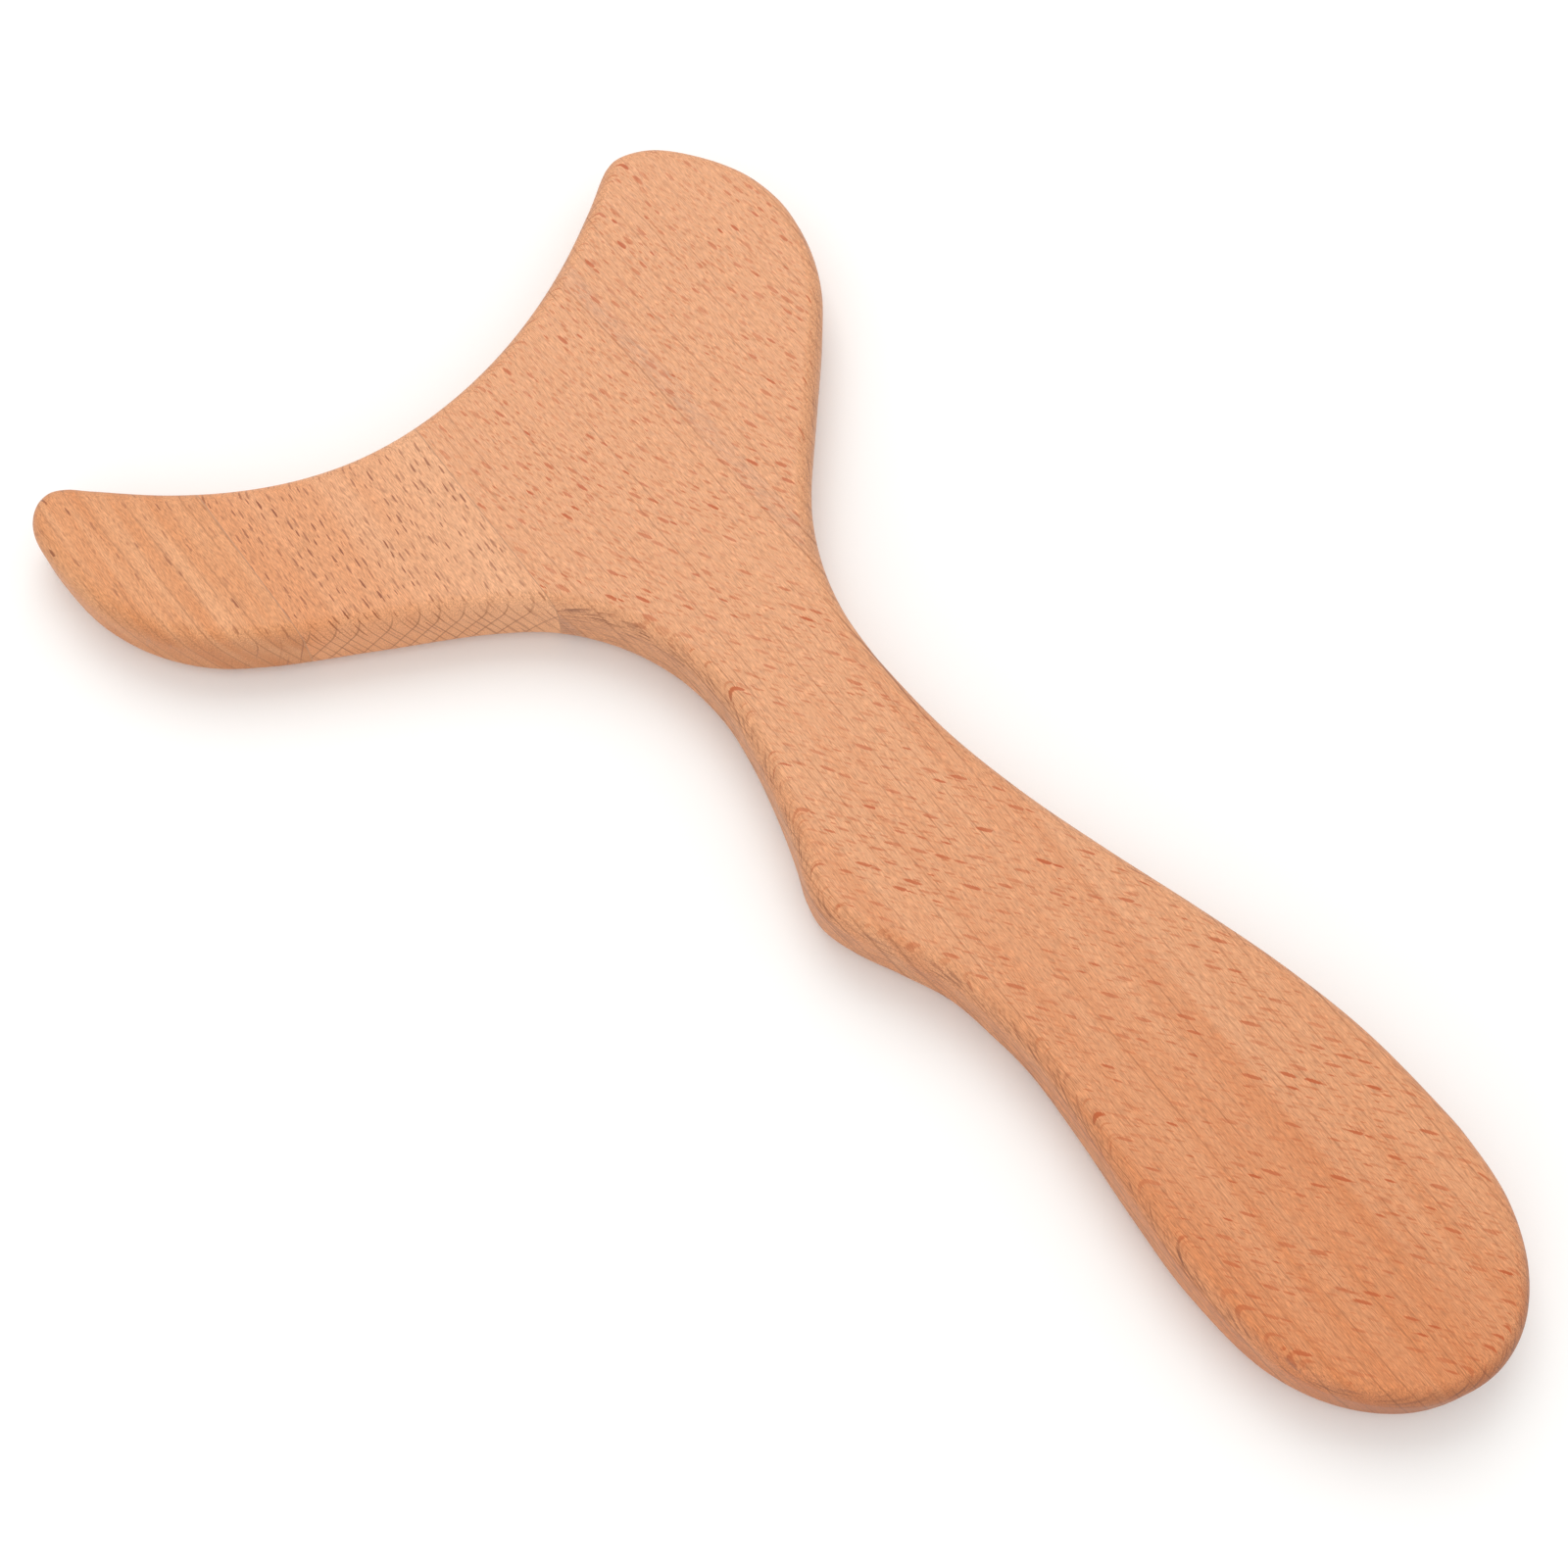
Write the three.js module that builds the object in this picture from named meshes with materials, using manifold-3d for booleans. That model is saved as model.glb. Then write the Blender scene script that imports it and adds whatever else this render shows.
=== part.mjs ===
// Hand-held massage paddle in solid beech: a flat board with a grip at one end
// and a whale-tail head at the other, whose hollow end edge is the working edge.
// It is edge-glued from three boards with their grain along the grip, sawn to
// one outline, and rounded over along both faces. Nothing on it moves.
//
// Millimetres, +Z up, flat on its lower face. +X runs along the grain towards the
// butt of the grip, +Y towards the long horn. The outline is drawn from the neck
// (x = 0) and the inner glue joint (y = 0), then centred on its own box.

import * as THREE from 'three';
import { mergeVertices } from 'three/addons/utils/BufferGeometryUtils.js';
import Module from 'manifold-3d';

// Stock
const boardThickness = 15;
const edgeRoundover = 4; // radius routed and sanded along both faces
const glueThickness = 0.2;
const shortBoardWidth = 44.5; // inner joint to outer joint

// Grip, measured from the neck and the inner joint
const gripReach = 172; // neck to the end of the butt
const gripWidth = 58.4; // across the palm swell
const gripLow = 15.6; // lower edge of the palm swell
const neckWidth = 31;
const neckLow = 15; // lower edge of the neck
const neckLowReach = 16.5; // how far towards the head that low point lies
const buttRise = 32; // foremost point of the butt, above the swell's lower edge
const buttLengthAbove = 35;
const buttLengthBelow = 40;
const swellTopInset = 42; // butt end back to where the top of the swell begins
const swellLowInset = 44;
const neckTopReach = 4; // the upper edge starts to rise this far behind the neck

// Bump under the grip that a finger hooks behind, and the hollow after it
const bumpReach = 31;
const bumpDrop = 10.7; // below the neck's lower edge
const fingerHollowReach = 78;
const fingerHollowDepth = 3; // above the swell's lower edge

// Head, measured from the neck towards the horns and from the inner joint
const longHornHeight = 96;
const longHornReach = 136;
const longHornTopReach = 106;
const longHornRootReach = 8;
const longHornRootRadius = 60;
const longHornTopRadius = 47;
const shortHornDepth = 76.5;
const shortHornReach = 138;
const shortHornHeelReach = 121.7;
const shortHornRootRadius = 50;
const shortHornHeelRadius = 45;
const shortTipHalfHeight = 7.5;
const shortTipNoseRadius = 5.625; // room for the roundover inside it
const workingEdgeReach = 105.7; // neck to the deepest point of the hollow edge
const workingEdgeLow = 3; // that point, below the inner joint

// Facets
const facetsPerSpan = 2;
const roundoverFacets = 3;

// Level at both ends, rising or falling as half a cosine wave.
function ease(start, end, spans) {
  const points = [];
  for (let i = 0; i <= spans; i += 1) {
    const along = i / spans;
    const rise = (1 - Math.cos(Math.PI * along)) / 2;
    points.push([
      start[0] + (end[0] - start[0]) * along,
      start[1] + (end[1] - start[1]) * rise,
    ]);
  }
  return points;
}

// Part of an ellipse, turning clockwise from one angle by another.
function ellipseArc(centre, halfLength, halfHeight, startDegrees, turnDegrees, spans) {
  const points = [];
  for (let i = 0; i <= spans; i += 1) {
    const angle = THREE.MathUtils.degToRad(startDegrees - (turnDegrees * i) / spans);
    points.push([
      centre[0] + halfLength * Math.cos(angle),
      centre[1] + halfHeight * Math.sin(angle),
    ]);
  }
  return points;
}

// Points placed by shares of the run and of the rise between two corners.
function between(start, end, shares) {
  return shares.map(([run, rise]) => [
    start[0] + (end[0] - start[0]) * run,
    start[1] + (end[1] - start[1]) * rise,
  ]);
}

// The back of a horn, from a level root to a level top: an arc, a straight flank
// and an opposite arc, all tangent. The radii shrink together where the corners
// are too close for them.
function hornBack(root, top, rootRadius, topRadius, arcSpans) {
  const run = Math.abs(top[0] - root[0]);
  const rise = Math.abs(top[1] - root[1]);
  const side = Math.sign(top[1] - root[1]);
  const roomForRadii = (run * run + rise * rise) / (2 * rise);
  const fit = Math.min(1, (0.98 * roomForRadii) / (rootRadius + topRadius));
  const rootArc = rootRadius * fit;
  const topArc = topRadius * fit;
  const bothArcs = rootArc + topArc;
  const slant = Math.hypot(run, bothArcs - rise);
  const flankAngle = Math.atan2(run, bothArcs - rise) - Math.acos(bothArcs / slant);
  const rootPoints = [];
  const topPoints = [];
  for (let i = 0; i <= arcSpans; i += 1) {
    const angle = (flankAngle * i) / arcSpans;
    rootPoints.push([
      root[0] - rootArc * Math.sin(angle),
      root[1] + side * rootArc * (1 - Math.cos(angle)),
    ]);
    topPoints.unshift([
      top[0] + topArc * Math.sin(angle),
      top[1] - side * topArc * (1 - Math.cos(angle)),
    ]);
  }
  const middle = between(rootPoints[arcSpans], topPoints[0], [[0.5, 0.5]]);
  return [...rootPoints, ...middle, ...topPoints];
}

// Half of the hollow working edge: a parabola from a horn to the deepest point.
function workingEdge(hornEnd, deepest, spans) {
  const points = [];
  for (let i = 0; i < spans; i += 1) {
    const away = 1 - i / spans;
    points.push([
      deepest[0] + (hornEnd[0] - deepest[0]) * away * away,
      deepest[1] + (hornEnd[1] - deepest[1]) * away,
    ]);
  }
  return points;
}

function gripOutline() {
  const neckTop = neckLow + neckWidth;
  const gripTop = gripLow + gripWidth;
  const buttHeight = gripLow + buttRise;
  const upperEdge = ease([-neckTopReach, neckTop], [gripReach - swellTopInset, gripTop], 7);
  const buttAbove = ellipseArc(
    [gripReach - buttLengthAbove, buttHeight],
    buttLengthAbove,
    gripTop - buttHeight,
    90,
    90,
    4,
  );
  const buttBelow = ellipseArc(
    [gripReach - buttLengthBelow, buttHeight],
    buttLengthBelow,
    buttRise,
    0,
    90,
    4,
  );
  const fingerHollow = [fingerHollowReach, gripLow + fingerHollowDepth];
  const lowerEdge = ease([gripReach - swellLowInset, gripLow], fingerHollow, 3);
  const bump = [bumpReach, neckLow - bumpDrop];
  const neck = [-neckLowReach, neckLow];
  const bumpFront = between(fingerHollow, bump, [
    [0.22, 0.08],
    [0.44, 0.22],
    [0.64, 0.52],
    [0.84, 0.85],
    [1, 1],
  ]);
  const bumpBack = between(bump, neck, [
    [0.13, 0.08],
    [0.28, 0.33],
    [0.51, 0.64],
    [0.76, 0.89],
  ]);
  return [
    ...upperEdge,
    ...buttAbove,
    ...buttBelow.slice(1, -1),
    ...lowerEdge,
    ...bumpFront,
    ...bumpBack,
  ];
}

function headOutline() {
  const neckTop = neckLow + neckWidth;
  const shortHeel = [-shortHornHeelReach, -shortHornDepth];
  const shortBack = hornBack(
    [-neckLowReach, neckLow],
    shortHeel,
    shortHornRootRadius,
    shortHornHeelRadius,
    4,
  );
  const shortEdgeEnd = [-shortHornReach + 5, -shortHornDepth + 15.5];
  const shortTipHalfLength = shortTipHalfHeight ** 2 / shortTipNoseRadius;
  const shortTip = ellipseArc(
    [-shortHornReach + shortTipHalfLength, -shortHornDepth + shortTipHalfHeight],
    shortTipHalfLength,
    shortTipHalfHeight,
    255,
    105,
    4,
  );
  const deepest = [-workingEdgeReach, -workingEdgeLow];
  const longEdgeEnd = [-longHornReach + 7.3, longHornHeight - 35];
  const longTip = [
    [-longHornReach + 0.7, longHornHeight - 25.7],
    [-longHornReach, longHornHeight - 22],
    [-longHornReach + 2.5, longHornHeight - 15],
    [-longHornReach + 10, longHornHeight - 7.7],
    [-longHornReach + 20, longHornHeight - 2],
  ];
  const longBack = hornBack(
    [-longHornRootReach, neckTop],
    [-longHornTopReach, longHornHeight],
    longHornRootRadius,
    longHornTopRadius,
    4,
  );
  return [
    ...shortBack,
    ...shortTip,
    ...workingEdge(shortEdgeEnd, deepest, 5),
    deepest,
    ...workingEdge(longEdgeEnd, deepest, 5).reverse(),
    ...longTip,
    ...longBack.reverse(),
  ];
}

// The sawn outline, clockwise from the neck's upper edge round the butt, the bump,
// the short horn, the working edge and the long horn.
function paddleOutline() {
  const corners = [...gripOutline(), ...headOutline()];
  const curve = new THREE.CatmullRomCurve3(
    corners.map(([x, y]) => new THREE.Vector3(x, y, 0)),
    true,
    'centripetal',
  );
  const points = curve.getPoints(corners.length * facetsPerSpan);
  points.pop();
  return points.map((point) => new THREE.Vector2(point.x, point.y));
}

const wasm = await Module();
wasm.setup();

function toSolid(geometry) {
  geometry.deleteAttribute('normal');
  geometry.deleteAttribute('uv');
  const merged = mergeVertices(geometry);
  return new wasm.Manifold(new wasm.Mesh({
    numProp: 3,
    vertProperties: merged.attributes.position.array,
    triVerts: merged.index.array,
  }));
}

function toGeometry(solid) {
  const { numProp, vertProperties, triVerts } = solid.getMesh();
  const position = new Float32Array((vertProperties.length / numProp) * 3);
  for (let i = 0; i < position.length / 3; i += 1) {
    position.set(vertProperties.subarray(i * numProp, i * numProp + 3), i * 3);
  }
  const geometry = new THREE.BufferGeometry();
  geometry.setAttribute('position', new THREE.BufferAttribute(position, 3));
  geometry.setIndex(new THREE.BufferAttribute(new Uint32Array(triVerts), 1));
  geometry.computeVertexNormals();
  return geometry;
}

// The glued-up blank, sawn to the outline and rounded over along both faces.
function paddleBlank(outline) {
  const blank = new THREE.ExtrudeGeometry(new THREE.Shape(outline), {
    depth: boardThickness - 2 * edgeRoundover,
    steps: 1,
    bevelEnabled: true,
    bevelThickness: edgeRoundover,
    bevelSize: edgeRoundover,
    bevelOffset: -edgeRoundover,
    bevelSegments: roundoverFacets,
  });
  blank.translate(0, 0, edgeRoundover);
  return toSolid(blank);
}

// A slab across the whole head where a glue joint runs along the grain.
function jointSlab(jointY, outlineBox) {
  const slab = new THREE.BoxGeometry(
    4 * (outlineBox.max.x - outlineBox.min.x),
    glueThickness,
    4 * boardThickness,
  );
  slab.translate(0, jointY, 0);
  return toSolid(slab);
}

function woodMaterial(colour) {
  return new THREE.MeshStandardMaterial({ color: colour, roughness: 0.6, metalness: 0 });
}

function namedMesh(name, solid, material) {
  const mesh = new THREE.Mesh(toGeometry(solid), material);
  mesh.name = name;
  return mesh;
}

const outline = paddleOutline();
const outlineBox = new THREE.Box2().setFromPoints(outline);
const blank = paddleBlank(outline);
const innerSlab = jointSlab(0, outlineBox);
const outerSlab = jointSlab(-shortBoardWidth, outlineBox);

// Taking the two joints out leaves the three boards, sorted from the short horn's
// tip towards the long horn.
const boards = blank.subtract(innerSlab).subtract(outerSlab).decompose();
boards.sort((a, b) => a.boundingBox().max[1] - b.boundingBox().max[1]);
const [tipBoard, shortHornBoard, gripBoard] = boards;

const glue = new THREE.MeshStandardMaterial({ color: 0x8a5a38, roughness: 0.5, metalness: 0 });
const paddle = new THREE.Group();
paddle.add(
  namedMesh('grip_and_long_horn_board', gripBoard, woodMaterial(0xe0a077)),
  namedMesh('short_horn_board', shortHornBoard, woodMaterial(0xe4a97e)),
  namedMesh('short_horn_tip_board', tipBoard, woodMaterial(0xdc9a6f)),
  namedMesh('inner_glue_line', blank.intersect(innerSlab), glue),
  namedMesh('outer_glue_line', blank.intersect(outerSlab), glue),
);

// Origin: the middle of the outline's box, on the lower face.
const middle = outlineBox.getCenter(new THREE.Vector2());
paddle.position.set(-middle.x, -middle.y, 0);

export default paddle;
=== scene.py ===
"""A hand-held massage paddle in oiled beech, edge-glued from three boards.

Lengths are in metres in the meshes and in millimetres in the named values, as on a
workshop drawing. +X runs along the grain towards the butt of the grip, +Y towards the
long horn and +Z up. The sections follow the making: the sawn outline and its rounded
rim, the three boards, the two glue lines, then the table, the light and the camera.
"""

import math

import bpy
import numpy as np
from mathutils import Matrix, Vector


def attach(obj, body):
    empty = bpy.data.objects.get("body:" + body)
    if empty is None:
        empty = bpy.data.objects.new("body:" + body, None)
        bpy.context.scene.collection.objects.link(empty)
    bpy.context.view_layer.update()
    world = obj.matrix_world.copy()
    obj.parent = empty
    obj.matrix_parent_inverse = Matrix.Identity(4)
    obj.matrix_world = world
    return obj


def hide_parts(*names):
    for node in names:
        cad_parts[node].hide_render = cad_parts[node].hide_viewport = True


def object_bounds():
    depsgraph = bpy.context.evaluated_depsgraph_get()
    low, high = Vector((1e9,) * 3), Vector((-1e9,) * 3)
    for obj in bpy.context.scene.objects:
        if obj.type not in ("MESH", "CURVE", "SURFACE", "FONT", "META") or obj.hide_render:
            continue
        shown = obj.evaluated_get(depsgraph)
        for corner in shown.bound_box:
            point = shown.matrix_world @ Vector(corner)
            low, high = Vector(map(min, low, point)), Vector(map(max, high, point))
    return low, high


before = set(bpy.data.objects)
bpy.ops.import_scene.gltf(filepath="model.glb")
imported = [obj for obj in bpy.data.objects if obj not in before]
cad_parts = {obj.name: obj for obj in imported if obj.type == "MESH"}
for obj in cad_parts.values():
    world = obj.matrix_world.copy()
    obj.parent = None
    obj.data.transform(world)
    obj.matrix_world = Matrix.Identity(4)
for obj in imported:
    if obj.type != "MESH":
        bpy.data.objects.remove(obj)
cad_low, cad_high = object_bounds()


# ---------------------------------------------------------------------------
# The sawn outline. The glued-up blank is sawn to one line: a palm swell and a
# rounded butt, a bump for the forefinger, a narrow neck, and two horns whose
# hollow end edge is the working edge. It is drawn from the neck and the inner joint.
# ---------------------------------------------------------------------------
GRIP_REACH = 172.0
GRIP_WIDTH = 58.4
GRIP_LOW = 15.6
NECK_WIDTH = 31.0
NECK_LOW = 15.0
NECK_LOW_REACH = 16.5
NECK_TOP_REACH = 4.0
BUTT_RISE = 32.0
BUTT_LENGTH_ABOVE = 35.0
BUTT_LENGTH_BELOW = 40.0
SWELL_TOP_INSET = 42.0
SWELL_LOW_INSET = 44.0
BUMP_REACH = 31.0
BUMP_DROP = 10.7
FINGER_HOLLOW_REACH = 78.0
FINGER_HOLLOW_DEPTH = 3.0

LONG_HORN_HEIGHT = 96.0
LONG_HORN_REACH = 136.0
LONG_HORN_TOP_REACH = 106.0
LONG_HORN_ROOT_REACH = 8.0
LONG_HORN_ROOT_RADIUS = 60.0
LONG_HORN_TOP_RADIUS = 47.0
SHORT_HORN_DEPTH = 76.5
SHORT_HORN_REACH = 138.0
SHORT_HORN_HEEL_REACH = 121.7
SHORT_HORN_ROOT_RADIUS = 50.0
SHORT_HORN_HEEL_RADIUS = 45.0
SHORT_TIP_HALF_HEIGHT = 7.5
SHORT_TIP_NOSE_RADIUS = 5.625
SHORT_TIP_START = 255.0
SHORT_TIP_TURN = 105.0
SHORT_END_INSET = 5.0
SHORT_END_RISE = 15.5
LONG_END_INSET = 7.3
LONG_END_DROP = 35.0
WORKING_EDGE_REACH = 105.7
WORKING_EDGE_LOW = 3.0

# Shares of the run and of the rise, down the bump's front and up its back, and the long
# tip's corners from the corner of the box round the horn.
BUMP_FRONT = [[0.22, 0.08], [0.44, 0.22], [0.64, 0.52], [0.84, 0.85], [1, 1]]
BUMP_BACK = [[0.13, 0.08], [0.28, 0.33], [0.51, 0.64], [0.76, 0.89]]
LONG_TIP = [[0.7, -25.7], [0, -22], [2.5, -15], [10, -7.7], [20, -2]]


def ease(start, end, spans):
    """Level at both ends, rising between them as half a cosine wave."""
    along = np.linspace(0, 1, spans + 1)
    rise = (1 - np.cos(np.pi * along)) / 2
    return np.c_[start[0] + (end[0] - start[0]) * along, start[1] + (end[1] - start[1]) * rise]


def ellipse_arc(centre, half_length, half_height, start_degrees, turn_degrees, spans):
    """Centre plus the half axes times the cosine and sine of an angle that turns clockwise."""
    angle = np.radians(start_degrees - turn_degrees * np.linspace(0, 1, spans + 1))
    return np.c_[centre[0] + half_length * np.cos(angle), centre[1] + half_height * np.sin(angle)]


def between(start, end, shares):
    """Start plus shares of the run and of the rise to the end."""
    return np.array(start) + (np.array(end) - np.array(start)) * np.array(shares)


def horn_back(root, top, root_radius, top_radius, spans):
    """An arc from a level root, a straight flank and an opposite arc to a level top, all
    tangent. The flank's angle is the one whose tangent line touches both circles."""
    run = abs(top[0] - root[0])
    rise = abs(top[1] - root[1])
    side = np.sign(top[1] - root[1])
    both = root_radius + top_radius
    slant = math.hypot(run, both - rise)
    flank = math.atan2(run, both - rise) - math.acos(both / slant)
    angle = flank * np.linspace(0, 1, spans + 1)
    turn = np.c_[-np.sin(angle), side * (1 - np.cos(angle))]
    root_arc = np.array(root) + root_radius * turn
    top_arc = (np.array(top) - top_radius * turn)[::-1]
    return np.vstack([root_arc, (root_arc[-1:] + top_arc[:1]) / 2, top_arc])


def working_edge(horn_end, deepest, spans):
    """Half of the hollow edge: the rise falls evenly to the deepest point while the reach
    falls with its square, which is a parabola. The deepest point itself is left out."""
    away = 1 - np.arange(spans)[:, None] / spans
    reach = np.array(horn_end) - np.array(deepest)
    return np.array(deepest) + reach * np.hstack([away**2, away])


def grip_corners():
    """The corners of the grip, clockwise from the neck's upper edge to its lower edge."""
    neck_top = NECK_LOW + NECK_WIDTH
    grip_top = GRIP_LOW + GRIP_WIDTH
    butt_height = GRIP_LOW + BUTT_RISE
    upper = ease([-NECK_TOP_REACH, neck_top], [GRIP_REACH - SWELL_TOP_INSET, grip_top],
                 spans=7)
    above = ellipse_arc([GRIP_REACH - BUTT_LENGTH_ABOVE, butt_height],
                        BUTT_LENGTH_ABOVE, grip_top - butt_height,
                        start_degrees=90, turn_degrees=90, spans=4)
    below = ellipse_arc([GRIP_REACH - BUTT_LENGTH_BELOW, butt_height],
                        BUTT_LENGTH_BELOW, BUTT_RISE,
                        start_degrees=0, turn_degrees=90, spans=4)
    hollow = [FINGER_HOLLOW_REACH, GRIP_LOW + FINGER_HOLLOW_DEPTH]
    lower = ease([GRIP_REACH - SWELL_LOW_INSET, GRIP_LOW], hollow, spans=3)
    bump = [BUMP_REACH, NECK_LOW - BUMP_DROP]
    front = between(hollow, bump, BUMP_FRONT)
    back = between(bump, [-NECK_LOW_REACH, NECK_LOW], BUMP_BACK)
    return [upper, above, below[1:-1], lower, front, back]


def head_corners():
    """The corners of the head, clockwise from the neck's lower edge to its upper edge."""
    short_back = horn_back([-NECK_LOW_REACH, NECK_LOW], [-SHORT_HORN_HEEL_REACH, -SHORT_HORN_DEPTH],
                           SHORT_HORN_ROOT_RADIUS, SHORT_HORN_HEEL_RADIUS, spans=4)
    tip_length = SHORT_TIP_HALF_HEIGHT**2 / SHORT_TIP_NOSE_RADIUS
    tip_centre = [tip_length - SHORT_HORN_REACH, SHORT_TIP_HALF_HEIGHT - SHORT_HORN_DEPTH]
    short_tip = ellipse_arc(tip_centre, tip_length, SHORT_TIP_HALF_HEIGHT,
                            SHORT_TIP_START, SHORT_TIP_TURN, spans=4)
    short_end = [SHORT_END_INSET - SHORT_HORN_REACH, SHORT_END_RISE - SHORT_HORN_DEPTH]
    deepest = [-WORKING_EDGE_REACH, -WORKING_EDGE_LOW]
    long_end = [LONG_END_INSET - LONG_HORN_REACH, LONG_HORN_HEIGHT - LONG_END_DROP]
    long_tip = np.array([-LONG_HORN_REACH, LONG_HORN_HEIGHT]) + np.array(LONG_TIP)
    long_back = horn_back([-LONG_HORN_ROOT_REACH, NECK_LOW + NECK_WIDTH],
                          [-LONG_HORN_TOP_REACH, LONG_HORN_HEIGHT],
                          LONG_HORN_ROOT_RADIUS, LONG_HORN_TOP_RADIUS, spans=4)
    short_half = working_edge(short_end, deepest, spans=5)
    long_half = working_edge(long_end, deepest, spans=5)
    return [short_back, short_tip, short_half, [deepest], long_half[::-1], long_tip,
            long_back[::-1]]


def smooth_through(corners, steps):
    """The closed centripetal Catmull-Rom curve through the corners: each span is a cubic
    whose end slopes come from its neighbours, weighted by the root of the chord lengths."""
    before, start, end, after = (np.roll(corners, shift, axis=0) for shift in (1, 0, -1, -2))
    first, middle, last = (np.sqrt(np.linalg.norm(b - a, axis=1))[:, None]
                           for a, b in ((before, start), (start, end), (end, after)))
    leave = (start - before) / first - (end - before) / (first + middle) + (end - start) / middle
    arrive = (end - start) / middle - (after - start) / (middle + last) + (after - end) / last
    leave, arrive = leave * middle, arrive * middle
    t = (np.arange(steps) / steps)[None, :, None]
    start, end, leave, arrive = (a[:, None, :] for a in (start, end, leave, arrive))
    curve = (start + leave * t + (3 * (end - start) - 2 * leave - arrive) * t**2
             + (2 * (start - end) + leave + arrive) * t**3)
    return curve.reshape(-1, 2)


outline = smooth_through(np.vstack(grip_corners() + head_corners()), steps=48)
outline_middle = (outline.min(axis=0) + outline.max(axis=0)) / 2
along_outline = np.roll(outline, -1, axis=0) - np.roll(outline, 1, axis=0)
along_outline /= np.linalg.norm(along_outline, axis=1)[:, None]
inward = np.c_[along_outline[:, 1], -along_outline[:, 0]]


# ---------------------------------------------------------------------------
# The rounded rim. Both faces are routed and sanded over to the same radius, so
# every cross-section of the rim is a quarter circle, a short straight wall and
# another quarter circle. Each board is that rim, cut straight where it is glued.
# ---------------------------------------------------------------------------
MM = 0.001
BOARD_THICKNESS = 15.0
EDGE_ROUNDOVER = 4.0
GLUE_THICKNESS = 0.2
ARC_STEPS = 12
WALL_STEPS = 5
FLAT_MARGIN = 0.6  # a ring of flat face inside the rim keeps the face's shading flat
SHARP_FROM = 40  # degrees: only the corners along the joints are sharper


def rim_profile():
    """Rows of (inset from the outline, height, setback from a joint), from the lower face up:
    inset = r (1 - sin a) and height = r (1 - cos a) round the quarter circle, then mirrored."""
    angle = np.linspace(0, np.pi / 2, ARC_STEPS + 1)
    lower = np.c_[EDGE_ROUNDOVER * (1 - np.sin(angle)), EDGE_ROUNDOVER * (1 - np.cos(angle))]
    wall_top = BOARD_THICKNESS - EDGE_ROUNDOVER
    wall_height = np.linspace(EDGE_ROUNDOVER, wall_top, WALL_STEPS + 1)[1:-1]
    wall = np.c_[np.zeros_like(wall_height), wall_height]
    upper = lower[::-1] * [1, -1] + [0, BOARD_THICKNESS]
    rows = np.vstack([lower, wall, upper])
    face = [EDGE_ROUNDOVER + FLAT_MARGIN, 0]
    rows = np.vstack([face, rows, face + np.array([0, BOARD_THICKNESS])])
    setback = np.zeros(len(rows))
    setback[[0, -1]] = FLAT_MARGIN
    return np.c_[rows, setback]


def crossings(height_along, level):
    """Where the inset outline passes a level: its place on the way down and on the way up."""
    below = height_along < level
    following = np.roll(below, -1)
    places = []
    for passing in (~below & following, below & ~following):
        i = np.flatnonzero(passing)[0]
        here, there = height_along[i], height_along[(i + 1) % len(height_along)]
        places.append(i + (level - here) / (there - here))
    return places


def loop_at(inset, top, bottom, arc_points, joint_points):
    """One closed loop of a board: the outline moved inwards by the inset, kept between the
    joints at top and bottom (None where the board runs on), with straight lines on them."""
    line = outline + inward * inset
    count = len(line)
    place = np.arange(count + 1)
    closed = np.vstack([line, line[:1]])

    def arc(start, end):
        if end < start:
            end += count
        at = np.linspace(start, end, arc_points) % count
        return np.c_[np.interp(at, place, closed[:, 0]), np.interp(at, place, closed[:, 1])]

    def straight(start, end):
        share = np.linspace(0, 1, joint_points + 2)[1:-1, None]
        return start + (end - start) * share

    if bottom is None:
        down, up = crossings(line[:, 1], top)
        side = arc(down, up)
        return np.vstack([side, straight(side[-1], side[0])])
    low_down, low_up = crossings(line[:, 1], bottom)
    if top is None:
        side = arc(low_up, low_down)
        return np.vstack([side, straight(side[-1], side[0])])
    high_down, high_up = crossings(line[:, 1], top)
    back = arc(high_down, low_down)
    edge = arc(low_up, high_up)
    return np.vstack([back, straight(back[-1], edge[0]), edge, straight(edge[-1], back[0])])


def board_mesh(name, top, bottom, arc_points, joint_points):
    """The loops of the rim profile stacked into a closed tube, with a flat face at each end.
    The flat margin shrinks in a film of glue, which is thinner than the margin itself."""
    loops = []
    free = top is None or bottom is None
    margin = 1.0 if free else min(1.0, (top - bottom) / (4 * FLAT_MARGIN))
    for inset, height, setback in rim_profile():
        upper = None if top is None else top - setback * margin
        lower = None if bottom is None else bottom + setback * margin
        plan = loop_at(inset, upper, lower, arc_points, joint_points) - outline_middle
        loops.append(np.c_[plan, np.full(len(plan), height)])
    points = np.array(loops) * MM
    rows, count = points.shape[:2]
    here = np.arange(rows - 1)[:, None] * count + np.arange(count)
    beside = np.arange(rows - 1)[:, None] * count + (np.arange(count) + 1) % count
    quads = np.stack([here, here + count, beside + count, beside], axis=-1).reshape(-1, 4)
    faces = quads.tolist()
    faces.append(list(range(count)))
    faces.append(list(range((rows - 1) * count, rows * count))[::-1])
    mesh = bpy.data.meshes.new(name)
    mesh.from_pydata(points.reshape(-1, 3).tolist(), [], faces)
    mesh.polygons.foreach_set("use_smooth", [True] * len(mesh.polygons))
    mesh.set_sharp_from_angle(angle=math.radians(SHARP_FROM))
    mesh.update()
    piece = bpy.data.objects.new(name, mesh)
    bpy.context.scene.collection.objects.link(piece)
    return piece


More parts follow.
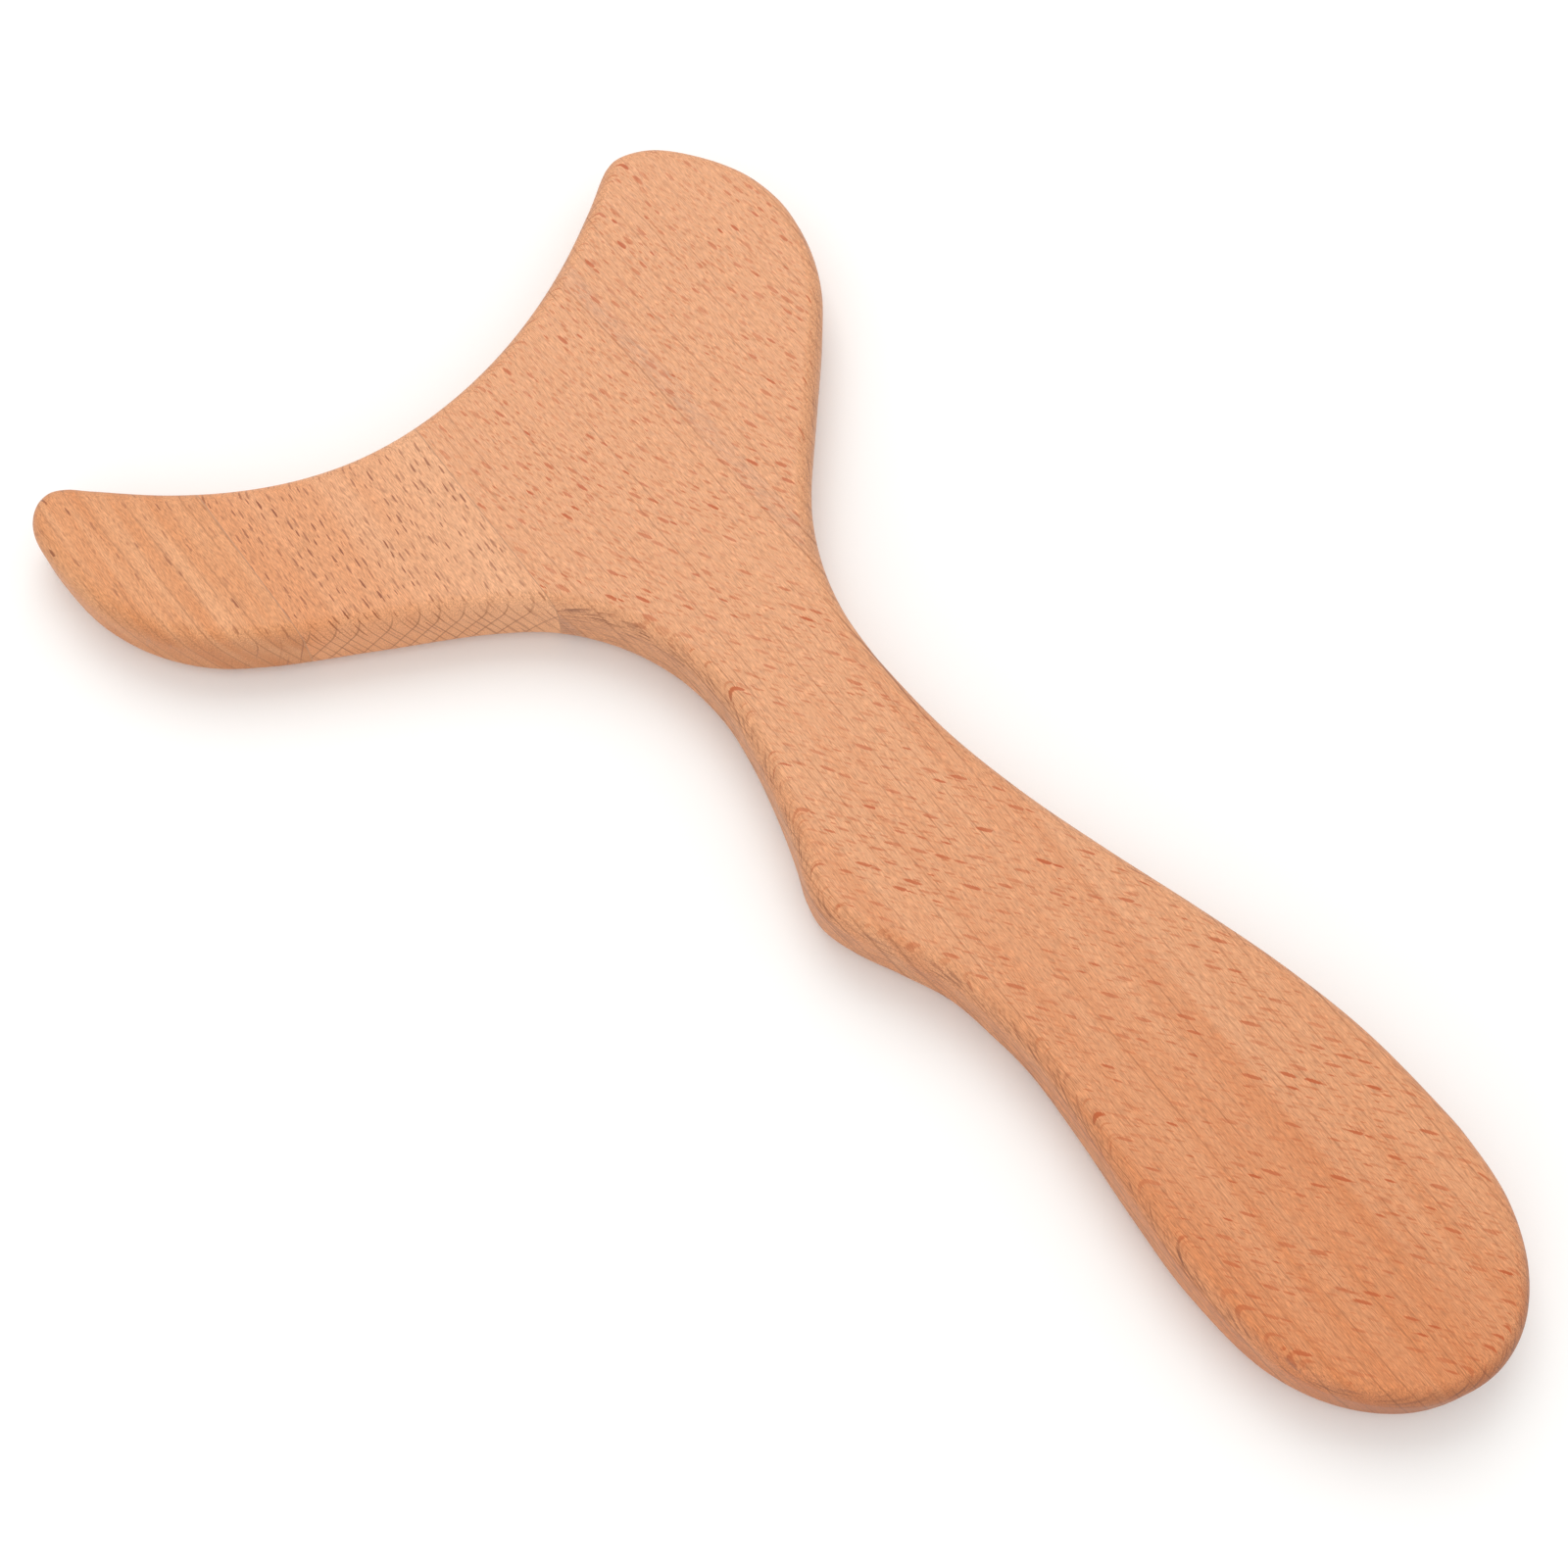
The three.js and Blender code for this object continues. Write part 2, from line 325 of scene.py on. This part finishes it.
# ---------------------------------------------------------------------------
# Grip and long horn board. Steamed beech, rift-sawn: its growth rings stand almost
# upright, so the rays lie nearly flat in the face and show as leaning orange flecks.
# It is the widest board, and the grip is sawn from it in one with the long horn.
# ---------------------------------------------------------------------------
INNER_JOINT = 0.0
HALF_GLUE = GLUE_THICKNESS / 2

# Sizes of the figure in millimetres: along the grain, across it and through the board.
# Real fibres and pores are about 0.02 and 0.05 mm across, too fine to show, so they are
# drawn 0.15 to 0.2 mm across. Rays and ring lines are drawn about twice as thick as real.
SWING_LENGTH = 38.0
SMUDGE_SIZE = (2.4, 0.9, 8.0)
PORE_SIZE = (1.7, 0.2, 0.2)
LINE_BREAK_SIZE = (28.0, 1.2, 40.0)
MARK_BREAK_SIZE = (30.0, 3.0, 60.0)
RAY_PATCH_SIZE = (22.0, 10.0, 30.0)
BAND_SOFTNESS = 0.4
FIBRE_RELIEF = 0.05
HEAD_FIGURE_END = -60.0
GRIP_FIGURE_START = 10.0
GRIP_FIGURE_SHARE = 0.1
# Where the end grain's darkening grows towards the butt. This darkening is oil soak and painted
# shade.
BUTT_SOAK_AND_SHADE_START = 80.0
BUTT_SOAK_AND_SHADE_END = 145.0
RAY_RAGGEDNESS = 0.9  # how far the fibres push a ray's edge, in shares of its half size
RAY_REACH = 0.8  # reach that makes up for that push
RAY_SOFTNESS = 0.35
# The colour that darkens the rim and the end grain: oil soak and painted shade.
OIL_SOAK_AND_SHADE = "#CFC6BC"


def linear(hex_colour):
    """An sRGB hex colour as linear red, green, blue and full alpha."""
    srgb = np.array([int(hex_colour[i:i + 2], 16) for i in (1, 3, 5)]) / 255
    rgb = np.where(srgb <= 0.04045, srgb / 12.92, ((srgb + 0.055) / 1.055) ** 2.4)
    return (*rgb.tolist(), 1.0)


def add(tree, kind, inputs, **settings):
    """Adds one shader node and gives its outputs. Each input is a number, a colour or
    another node's output."""
    made = tree.nodes.new("ShaderNode" + kind)
    for setting, value in settings.items():
        setattr(made, setting, value)
    for socket, value in inputs.items():
        if isinstance(value, bpy.types.NodeSocket):
            tree.links.new(value, made.inputs[socket])
        else:
            made.inputs[socket].default_value = value
    return made.outputs


def oiled_beech(name, look):
    """Sanded and oiled beech as a solid: what shows on a face is where the face cuts it.

    Growth rings and rays lie in layers. All over one layer the sum
    y - climb(x) + lean * (z - thickness) + a slow swing keeps one value in millimetres,
    its place, and climb(x) = even * x + bend * sqrt((x - middle)^2 + width^2).
    A ray is a lens round the middle of a scattered cell: the distance from there, counted
    in half lengths along x and half heights across the layers, is below its own reach."""
    material = bpy.data.materials.new(name)
    material.use_nodes = True
    tree = material.node_tree
    tree.nodes.clear()
    where = add(tree, "TexCoord", {})
    mm = add(tree, "VectorMath", {0: where["Object"], "Scale": 1 / MM}, operation="SCALE")[0]
    x, y, z = add(tree, "SeparateXYZ", {0: mm})
    depth = add(tree, "Math", {0: z, 1: -BOARD_THICKNESS}, operation="ADD")[0]
    slow = add(tree, "TexNoise", {"Vector": mm, "Scale": 1 / SWING_LENGTH, "Detail": 2.0})
    ring_swing, ray_swing, _ = add(tree, "SeparateColor", {0: slow["Color"]})

    def layer(climb, lean, swing, wander):
        """The place of the layer that passes through a point."""
        even, bend, middle, width = climb
        off = add(tree, "Math", {0: x, 1: -middle}, operation="ADD")[0]
        square = add(tree, "Math", {0: off, 1: off, 2: width**2}, operation="MULTIPLY_ADD")[0]
        root = add(tree, "Math", {0: square}, operation="SQRT")[0]
        place = y
        for amount, rate in ((root, -bend), (x, -even), (depth, lean), (swing, wander)):
            place = add(tree, "Math", {0: amount, 1: rate, 2: place},
                        operation="MULTIPLY_ADD")[0]
        return place

    ring = layer(look["ring_climb"], look["ring_lean"], ring_swing, look["ring_wander"])
    ray = layer(look["ray_climb"], look["ray_lean"], ray_swing, look["ray_wander"])
    layers = {"ring": ring, "ray": ray}
    ray_space = add(tree, "CombineXYZ", {0: x, 1: ray, 2: ring})[0]
    ring_space = add(tree, "CombineXYZ", {0: x, 1: ring, 2: z})[0]
    late_wood = linear(look["late_wood"])

    def pattern(space, size, detail=2.0):
        """Soft noise whose blots have that size in millimetres along the three axes."""
        scaled = add(tree, "VectorMath", {0: space, 1: tuple(1 / s for s in size)},
                     operation="MULTIPLY")[0]
        return add(tree, "TexNoise", {"Vector": scaled, "Scale": 1.0, "Detail": detail})["Fac"]

    # Tone: paler and deeper stretches, deeper towards the butt, paler beyond some rings.
    start, per_mm, blot_share = look["tone"]
    tone = add(tree, "Math", {0: x, 1: per_mm, 2: start}, operation="MULTIPLY_ADD")[0]
    blots = add(tree, "MapRange", {"Value": pattern(ring_space, look["blot"]),
                                   "From Min": 0.3, "From Max": 0.7,
                                   "To Min": -blot_share, "To Max": blot_share})[0]
    tone = add(tree, "Math", {0: tone, 1: blots}, operation="ADD")[0]
    for place, half_width, change in look["steps"]:
        step = add(tree, "MapRange", {"Value": ring, "From Min": place - half_width,
                                      "From Max": place + half_width, "To Max": change})[0]
        tone = add(tree, "Math", {0: tone, 1: step}, operation="ADD")[0]
    tone = add(tree, "MapRange", {"Value": tone})[0]
    colour = add(tree, "Mix", {"Factor": tone, "A": linear(look["pale"]),
                               "B": linear(look["deep"])}, data_type="RGBA")["Result"]

    # Single rings and bands stand out in the head and die away along the grip.
    in_head = add(tree, "MapRange", {"Value": x, "From Min": HEAD_FIGURE_END,
                                     "From Max": GRIP_FIGURE_START,
                                     "To Min": 1.0, "To Max": GRIP_FIGURE_SHARE})[0]

    def beside_ring(place, full, none, share):
        """The share of the figure along the ring at one place: all of it as far as full
        millimetres to either side, and nothing from none on."""
        away = add(tree, "Math", {0: ring, 1: place}, operation="SUBTRACT")[0]
        away = add(tree, "Math", {0: away}, operation="ABSOLUTE")[0]
        near = add(tree, "MapRange", {"Value": away, "From Min": full, "From Max": none,
                                      "To Min": share, "To Max": 0.0})[0]
        return add(tree, "Math", {0: near, 1: in_head}, operation="MULTIPLY")[0]

    # Bands: pale stretches along a ring or a joint, with grey smudges in them.
    for place, half_width, share in look["bands"]:
        inside = beside_ring(place, half_width - BAND_SOFTNESS, half_width + BAND_SOFTNESS, 1.0)
        smudge = add(tree, "MapRange", {"Value": pattern(ray_space, SMUDGE_SIZE),
                                        "From Min": 0.45, "From Max": 0.68,
                                        "To Max": share})[0]
        for amount, tint in ((share, look["band_pale"]), (smudge, look["band_grey"])):
            factor = add(tree, "Math", {0: inside, 1: amount}, operation="MULTIPLY")[0]
            colour = add(tree, "Mix", {"Factor": factor, "A": colour, "B": linear(tint)},
                         data_type="RGBA")["Result"]

    # Fibres: fine light and dark streaks along the grain. Pores: short open dashes
    # among them, which hold the oil and dry dark.
    fibres = pattern(mm, look["fibre"], 3.0)
    streak = add(tree, "MapRange", {"Value": fibres, "From Min": 0.25, "From Max": 0.75,
                                    "To Min": 1 - look["fibre_depth"],
                                    "To Max": 1 + look["fibre_depth"]})[0]
    colour = add(tree, "VectorMath", {0: colour, "Scale": streak}, operation="SCALE")[0]
    pores = add(tree, "MapRange", {"Value": pattern(mm, PORE_SIZE, 1.0), "From Min": 0.60,
                                   "From Max": 0.72, "To Max": look["pore_share"]})[0]
    colour = add(tree, "Mix", {"Factor": pores, "A": colour, "B": late_wood},
                 data_type="RGBA")["Result"]

    def looking_along(axis):
        """How squarely the surface looks along an axis, either way: 1 is straight at it."""
        facing = add(tree, "VectorMath", {0: where["Normal"], 1: axis},
                     operation="DOT_PRODUCT")["Value"]
        return add(tree, "Math", {0: facing}, operation="ABSOLUTE")[0]

    # Where the surface cuts the end grain, and where it is the rim and not a face.
    end_on = add(tree, "MapRange", {"Value": looking_along((1, 0, 0)),
                                    "From Min": 0.25, "From Max": 0.85})[0]
    edge_on = add(tree, "MapRange", {"Value": looking_along((0, 0, 1)), "From Min": 0.6,
                                     "From Max": 0.97, "To Min": 1.0, "To Max": 0.0})[0]

    # Growth rings, thin dark lines of late wood where two years meet, and on the end
    # grain the rays that cross them. Both show more there than on the faces.
    for kind, gap, width, on_face, on_edge, on_end in look["lines"]:
        years = add(tree, "Math", {0: layers[kind], 1: 1 / gap}, operation="MULTIPLY")[0]
        edge = add(tree, "TexVoronoi", {"W": years, "Scale": 1.0}, voronoi_dimensions="1D",
                   feature="DISTANCE_TO_EDGE")["Distance"]
        line = add(tree, "MapRange", {"Value": edge, "From Max": width / gap,
                                      "To Min": 1.0, "To Max": 0.0})[0]
        whole = add(tree, "MapRange", {"Value": pattern(ring_space, LINE_BREAK_SIZE),
                                       "From Min": 0.36, "From Max": 0.6})[0]
        whole = add(tree, "Math", {0: whole, 1: end_on}, operation="MAXIMUM")[0]
        share = add(tree, "MapRange", {"Value": edge_on, "To Min": on_face,
                                       "To Max": on_edge})[0]
        share = add(tree, "MapRange", {"Value": end_on, "To Min": share, "To Max": on_end})[0]
        share = add(tree, "Math", {0: whole, 1: share}, operation="MULTIPLY")[0]
        share = add(tree, "Math", {0: line, 1: share}, operation="MULTIPLY")[0]
        colour = add(tree, "Mix", {"Factor": share, "A": colour, "B": late_wood},
                     data_type="RGBA")["Result"]

    # Marks: single dark rings, broken here and there.
    for place, half_width, share in look["marks"]:
        line = beside_ring(place, 0.0, half_width, share)
        whole = add(tree, "MapRange", {"Value": pattern(ring_space, MARK_BREAK_SIZE),
                                       "From Min": 0.3, "From Max": 0.6, "To Min": 0.15})[0]
        line = add(tree, "Math", {0: line, 1: whole}, operation="MULTIPLY")[0]
        colour = add(tree, "Mix", {"Factor": line, "A": colour, "B": late_wood},
                     data_type="RGBA")["Result"]

    # Rays, from the fine ones that give the face its pebbled look to the longest flecks.
    # Cut along their flat side they are orange; cut across they are thin and dark.
    for kind in look["rays"]:
        length, height = kind["cell"]
        half_length, half_height = kind["half_size"]
        scaled = add(tree, "VectorMath", {0: ray_space, 1: (1 / length, 1 / height, 0)},
                     operation="MULTIPLY")[0]
        cell = add(tree, "TexVoronoi", {"Vector": scaled, "Scale": 1.0,
                                        "Randomness": kind["scatter"]}, voronoi_dimensions="2D")
        offset = add(tree, "VectorMath", {0: scaled, 1: cell["Position"]},
                     operation="SUBTRACT")[0]
        in_halves = (length / half_length, height / half_height, 0)
        offset = add(tree, "VectorMath", {0: offset, 1: in_halves}, operation="MULTIPLY")[0]
        away = add(tree, "VectorMath", {0: offset}, operation="LENGTH")["Value"]
        away = add(tree, "Math", {0: fibres, 1: RAY_RAGGEDNESS, 2: away},
                   operation="MULTIPLY_ADD")[0]
        chance, strength, _ = add(tree, "SeparateColor", {0: cell["Color"]})
        missing = 1 - kind["keep"]
        kept = add(tree, "Math", {0: chance, 1: missing}, operation="GREATER_THAN")[0]
        reach = add(tree, "MapRange", {"Value": chance, "From Min": missing,
                                       "To Min": kind["least"] + RAY_REACH,
                                       "To Max": 1.0 + RAY_REACH})[0]
        nearer = add(tree, "Math", {0: reach, 1: away}, operation="SUBTRACT")[0]
        lens = add(tree, "MapRange", {"Value": nearer, "From Max": RAY_SOFTNESS})[0]
        lens = add(tree, "Math", {0: lens, 1: kept}, operation="MULTIPLY")[0]
        ranges = [
            {"Value": edge_on, "To Min": kind["on_face"], "To Max": kind["on_edge"]},
            {"Value": strength, "From Min": 0.1, "From Max": 0.9, "To Min": kind["faintest"]},
            {"Value": pattern(ray_space, RAY_PATCH_SIZE), "From Min": 0.35, "From Max": 0.6,
             "To Min": kind["thinned"]},
        ]
        shown = lens
        for one_range in ranges:
            share = add(tree, "MapRange", one_range)[0]
            shown = add(tree, "Math", {0: shown, 1: share}, operation="MULTIPLY")[0]
        tint = add(tree, "Mix", {"Factor": edge_on, "A": linear(kind["flat"]),
                                 "B": linear(kind["cut"])}, data_type="RGBA")["Result"]
        colour = add(tree, "Mix", {"Factor": shown, "A": colour, "B": tint},
                     data_type="RGBA")["Result"]

    # Painted shade, in part: the rounded rim and the end grain are darkened. Part of it is real,
    # as they drink more oil than the faces and dry darker. Part is painted shade where the rim
    # turns away from the light, and the most is on the end grain at the butt, which faces away
    # from the window.
    in_head_soak_and_shade, at_butt_soak_and_shade = look["end_grain_soak_and_shade"]
    end_soak_and_shade = add(tree, "MapRange", {"Value": x, "From Min": BUTT_SOAK_AND_SHADE_START,
                                      "From Max": BUTT_SOAK_AND_SHADE_END, "To Min": in_head_soak_and_shade,
                                      "To Max": at_butt_soak_and_shade})[0]
    for surface, soak_and_shade in ((edge_on, look["edge_soak_and_shade"]), (end_on, end_soak_and_shade)):
        factor = add(tree, "Math", {0: surface, 1: soak_and_shade}, operation="MULTIPLY")[0]
        colour = add(tree, "Mix", {"Factor": factor, "A": colour, "B": linear(OIL_SOAK_AND_SHADE)},
                     data_type="RGBA", blend_type="MULTIPLY")["Result"]

    # The longest rays are denser than the wood round them and take a higher polish.
    roughness = add(tree, "MapRange", {"Value": lens, "To Min": 0.52, "To Max": 0.42})[0]
    relief = add(tree, "Bump", {"Strength": 0.25, "Distance": FIBRE_RELIEF * MM,
                                "Height": fibres})[0]
    shader = add(tree, "BsdfPrincipled", {"Base Color": colour, "Roughness": roughness,
                                          "IOR": 1.45, "Normal": relief})[0]
    add(tree, "OutputMaterial", {"Surface": shader})
    return material


def finish_board(piece, node, material):
    """The piece takes its material, stands for its CAD node and rides with it."""
    piece.data.materials.append(material)
    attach(piece, "root")
    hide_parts(node)


# In every look: tone is (at x = 0, per millimetre, share of the blots); steps, bands and
# marks are (place, half width, change or share); lines are (layer, gap, width, shares on
# the face, the rim and the end grain); a climb is (even, bend, middle, width). For a kind
# of ray, keep is the share of its cells that hold one, least its smallest reach, and
# faintest and thinned the lowest shares of one ray and of a patch of them. Blots, fibres,
# cells and half sizes are in millimetres. The end grain's darkening is given in the head
# and at the butt. It and the rim's darkening are partly oil soak and partly painted shade.
rift_sawn = oiled_beech("rift_sawn_oiled_beech", {
    "pale": "#D6996E", "deep": "#C97B49", "band_pale": "#D49B77", "band_grey": "#A07A62",
    "tone": (0.07, 0.0053, 0.25), "blot": (70.0, 3.5, 30.0), "steps": [(41.2, 1.0, -0.3)],
    "bands": [(43.3, 2.0, 0.35), (-8.2, 1.3, 0.9)],
    "late_wood": "#8C5029", "pore_share": 0.45,
    "lines": [("ring", 3.4, 0.22, 0.5, 0.75, 0.6), ("ring", 1.3, 0.16, 0.25, 0.7, 0.2),
              ("ray", 5.0, 0.4, 0.0, 0.0, 0.2)],
    "marks": [(41.0, 0.3, 0.7), (42.0, 0.2, 0.4), (45.2, 0.2, 0.4), (-6.6, 0.25, 0.5)],
    "ring_climb": (0.0175, -0.0175, 0.0, 60.0), "ring_lean": 0.35, "ring_wander": 2.0,
    "ray_climb": (0.4, 0.3, -75.0, 45.0), "ray_lean": -3.0, "ray_wander": 3.0,
    "fibre": (1.8, 0.15, 0.15), "fibre_depth": 0.38,
    # Rim and end grain darkening: partly oil soak, partly painted shade, deepest at the butt.
    "end_grain_soak_and_shade": (0.0, 0.8), "edge_soak_and_shade": 0.25,
    "rays": [
        {"cell": (1.9, 1.4), "half_size": (0.8, 0.24), "scatter": 1.0, "keep": 1.0,
         "least": 0.3, "on_face": 0.75, "on_edge": 0.2, "faintest": 0.2, "thinned": 0.4,
         "flat": "#B9683A", "cut": "#A06038"},
        {"cell": (4.0, 2.8), "half_size": (1.4, 0.4), "scatter": 1.0, "keep": 1.0,
         "least": 0.1, "on_face": 0.95, "on_edge": 0.5, "faintest": 0.15, "thinned": 0.45,
         "flat": "#B2521F", "cut": "#80482A"},
        {"cell": (5.0, 1.7), "half_size": (2.4, 0.42), "scatter": 1.0, "keep": 0.95,
         "least": 0.4, "on_face": 0.0, "on_edge": 0.8, "faintest": 0.3, "thinned": 0.6,
         "flat": "#7A4225", "cut": "#7A4225"},
    ],
})
main_board = board_mesh("grip_and_long_horn", None, INNER_JOINT + HALF_GLUE,
                        arc_points=1500, joint_points=60)
finish_board(main_board, "grip_and_long_horn_board", rift_sawn)


# ---------------------------------------------------------------------------
# Short horn board. Flat-sawn beech from another plank: its rays stand on end in
# the face, so they show as short dark dashes, and its rings and rays cross on the
# end grain of the horn's back. Glued to the first board along one straight edge.
# ---------------------------------------------------------------------------
SHORT_BOARD_WIDTH = 44.5
OUTER_JOINT = INNER_JOINT - SHORT_BOARD_WIDTH
flat_sawn = oiled_beech("flat_sawn_oiled_beech", {
    "pale": "#DAA076", "deep": "#CF8552",
    "tone": (1.0, 0.0, 0.2), "blot": (60.0, 6.0, 30.0),
    "steps": [(-50.0, 9.0, -0.5), (-30.0, 9.0, -0.25), (-15.0, 6.0, -0.25)],
    "bands": [], "marks": [],
    "late_wood": "#8E5A36", "pore_share": 0.3,
    "lines": [("ring", 4.6, 0.3, 0.3, 0.5, 0.8), ("ray", 2.2, 0.22, 0.0, 0.2, 0.75)],
    "ring_climb": (0.0, 0.0, 0.0, 1.0), "ring_lean": -0.73, "ring_wander": 1.2,
    "ray_climb": (-0.045, 0.0, 0.0, 1.0), "ray_lean": 0.46, "ray_wander": 2.0,
    "fibre": (1.3, 0.17, 0.17), "fibre_depth": 0.38,
    "end_grain_soak_and_shade": (0.1, 0.1), "edge_soak_and_shade": 0.1,
    "rays": [
        {"cell": (2.3, 1.2), "half_size": (0.7, 0.12), "scatter": 1.0, "keep": 0.7,
         "least": 0.5, "on_face": 0.5, "on_edge": 0.3, "faintest": 0.3, "thinned": 0.6,
         "flat": "#A8653A", "cut": "#A8653A"},
        {"cell": (4.0, 1.7), "half_size": (1.25, 0.2), "scatter": 0.8, "keep": 0.95,
         "least": 0.3, "on_face": 1.0, "on_edge": 0.7, "faintest": 0.5, "thinned": 0.6,
         "flat": "#87461F", "cut": "#87461F"},
    ],
})
short_board = board_mesh("short_horn", INNER_JOINT - HALF_GLUE, OUTER_JOINT + HALF_GLUE,
                         arc_points=130, joint_points=80)
finish_board(short_board, "short_horn_board", flat_sawn)


# ---------------------------------------------------------------------------
# Short horn tip board. A narrow offcut of beech glued on to reach the tip of the
# short horn. It is redder and streakier than its neighbour, with fewer dashes.
# ---------------------------------------------------------------------------
tip_sawn = oiled_beech("streaky_oiled_beech", {
    "pale": "#D99C6E", "deep": "#C87E4A",
    "tone": (0.45, 0.0, 0.35), "blot": (40.0, 3.0, 10.0), "steps": [],
    "bands": [], "marks": [],
    "late_wood": "#8E5A36", "pore_share": 0.35,
    "lines": [("ring", 3.0, 0.3, 0.5, 0.6, 0.5)],
    "ring_climb": (0.02, 0.0, 0.0, 1.0), "ring_lean": 0.45, "ring_wander": 1.6,
    "ray_climb": (0.02, 0.0, 0.0, 1.0), "ray_lean": -0.2, "ray_wander": 2.0,
    "fibre": (1.3, 0.17, 0.17), "fibre_depth": 0.36,
    "end_grain_soak_and_shade": (0.3, 0.3), "edge_soak_and_shade": 0.3,
    "rays": [
        {"cell": (2.3, 1.3), "half_size": (0.7, 0.13), "scatter": 1.0, "keep": 0.7,
         "least": 0.5, "on_face": 0.5, "on_edge": 0.45, "faintest": 0.3, "thinned": 0.6,
         "flat": "#A66237", "cut": "#A66237"},
        {"cell": (5.4, 2.5), "half_size": (1.3, 0.21), "scatter": 0.9, "keep": 0.7,
         "least": 0.2, "on_face": 1.0, "on_edge": 0.9, "faintest": 0.4, "thinned": 0.3,
         "flat": "#87461F", "cut": "#87461F"},
    ],
})
tip_board = board_mesh("short_horn_tip", OUTER_JOINT - HALF_GLUE, None,
                       arc_points=700, joint_points=60)
finish_board(tip_board, "short_horn_tip_board", tip_sawn)


# ---------------------------------------------------------------------------
# Glue lines. White wood glue squeezed to a film in each edge joint, dried hard and
# sanded flush: it shows only as a fine brown line that the dust has darkened.
# ---------------------------------------------------------------------------
GLUE_BLOT = 2.5
dried_glue = bpy.data.materials.new("dried_wood_glue")
dried_glue.use_nodes = True
glue_tree = dried_glue.node_tree
glue_shader = glue_tree.nodes["Principled BSDF"]
glue_place = add(glue_tree, "TexCoord", {})["Object"]
glue_blots = add(glue_tree, "TexNoise", {"Vector": glue_place, "Scale": 1 / (GLUE_BLOT * MM)})
glue_tone = add(glue_tree, "Mix", {"Factor": glue_blots["Fac"], "A": linear("#9C6A48"),
                                   "B": linear("#C08C66")}, data_type="RGBA")["Result"]
glue_tree.links.new(glue_tone, glue_shader.inputs["Base Color"])
glue_shader.inputs["Roughness"].default_value = 0.45
for name, joint in (("inner_joint", INNER_JOINT), ("outer_joint", OUTER_JOINT)):
    line = board_mesh(name + "_glue", joint + HALF_GLUE, joint - HALF_GLUE,
                      arc_points=3, joint_points=80)
    finish_board(line, name.replace("joint", "glue_line"), dried_glue)


# ---------------------------------------------------------------------------
# Table, light and camera. The paddle lies flat on a plain pale table under a broad
# soft light from beyond the head, and is seen from above the finger side of the grip.
# ---------------------------------------------------------------------------
TABLE_HALF_WIDTH = 3.0
TABLE_GAP = 0.0004  # keeps the table's top clear of the paddle's lower face
table_mesh = bpy.data.meshes.new("table")
corner = TABLE_HALF_WIDTH
table_mesh.from_pydata([(-corner, -corner, 0), (corner, -corner, 0), (corner, corner, 0),
                        (-corner, corner, 0)], [], [(0, 1, 2, 3)])
table = bpy.data.objects.new("table", table_mesh)
bpy.context.scene.collection.objects.link(table)
table.location.z = cad_low[2] - TABLE_GAP
white_table = bpy.data.materials.new("matt_white_laminate")
white_table.use_nodes = True
white_shader = white_table.node_tree.nodes["Principled BSDF"]
white_shader.inputs["Base Color"].default_value = linear("#F6F5F3")
white_shader.inputs["Roughness"].default_value = 0.8
table_mesh.materials.append(white_table)

sky = bpy.data.worlds.new("soft_room")
sky.use_nodes = True
bpy.context.scene.world = sky
sky.node_tree.nodes["Background"].inputs["Color"].default_value = linear("#FFFFFF")
sky.node_tree.nodes["Background"].inputs["Strength"].default_value = 0.95


def aim_from(thing, place, aim):
    """Puts a light or camera at a place and turns its -Z axis to the aim, with no roll."""
    thing.location = place
    thing.rotation_euler = (Vector(aim) - Vector(place)).to_track_quat("-Z", "Y").to_euler()


def soft_box(name, place, aim, size, power):
    """A square area light of that size, at a place and turned to face the aim."""
    lamp = bpy.data.lights.new(name, "AREA")
    lamp.size = size
    lamp.energy = power
    holder = bpy.data.objects.new(name, lamp)
    bpy.context.scene.collection.objects.link(holder)
    aim_from(holder, place, aim)


soft_box("window", place=(-0.9, 0.5, 1.3), aim=(0, 0, 0), size=1.2, power=9.0)
soft_box("reflector", place=(0.55, -0.75, 0.16), aim=(0, 0, 0), size=0.5, power=1.6)

VIEW_AZIMUTH = math.radians(53.29)
VIEW_ELEVATION = math.radians(68)
VIEW_DISTANCE = 475.4 * MM
VIEW_AIM = (-16.1 * MM, 7.75 * MM, 0.0)
FOCAL_LENGTH = 54
SENSOR_WIDTH = 36
camera_data = bpy.data.cameras.new("camera")
camera_data.lens = FOCAL_LENGTH
camera_data.sensor_width = SENSOR_WIDTH
camera = bpy.data.objects.new("camera", camera_data)
bpy.context.scene.collection.objects.link(camera)
level = math.cos(VIEW_ELEVATION)
toward_camera = np.array([math.sin(VIEW_AZIMUTH) * level, -math.cos(VIEW_AZIMUTH) * level,
                          math.sin(VIEW_ELEVATION)])
aim_from(camera, (np.array(VIEW_AIM) + VIEW_DISTANCE * toward_camera).tolist(), VIEW_AIM)
bpy.context.scene.camera = camera
bpy.context.scene.view_settings.view_transform = "Standard"
